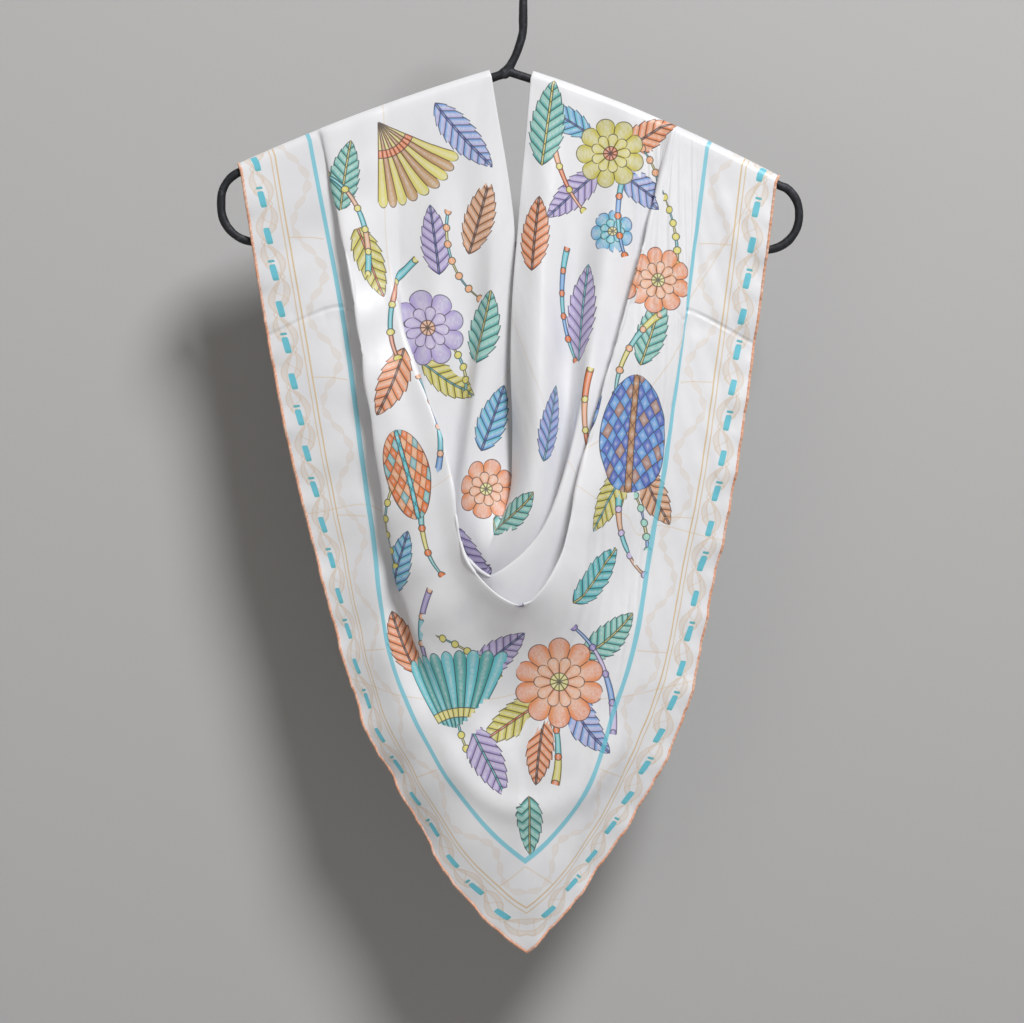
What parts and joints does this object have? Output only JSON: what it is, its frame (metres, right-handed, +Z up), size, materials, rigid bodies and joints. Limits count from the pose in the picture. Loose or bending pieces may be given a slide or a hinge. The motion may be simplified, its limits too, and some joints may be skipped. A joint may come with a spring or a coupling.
{
  "type": "silk square scarf on a wrought-iron hanger",
  "caption": "Printed silk square folded into a triangle and draped over the arms of a wrought-iron hanger, with a deep cowl at the neck and its point hanging in front.",
  "frame": {"origin": "inner top of the hook, where a rail or a peg carries the hanger", "axes": "+Z up, +X to the viewer's right, -Y towards the viewer who looks at the front of the scarf"},
  "size_m": [0.4219, 0.0718, 0.7255],
  "materials": {
    "iron": "satin black paint over hammered rod",
    "silk": "silk twill with a soft sheen, printed in turquoise, blue, olive, tan, lilac and orange",
    "hem": "hand-rolled salmon edge"
  },
  "bodies": {
    "root": {"hanger_hook": "iron", "hanger_left_arm": "iron", "hanger_right_arm": "iron", "hanger_bar": "iron", "front_fall": "silk", "back_fall": "silk", "left_tail": "silk", "right_tail": "silk", "front_hem": "hem", "back_hem": "hem", "left_tail_back_hem": "hem", "left_tail_front_hem": "hem", "right_tail_back_hem": "hem", "right_tail_front_hem": "hem"}
  },
  "joints": []
}
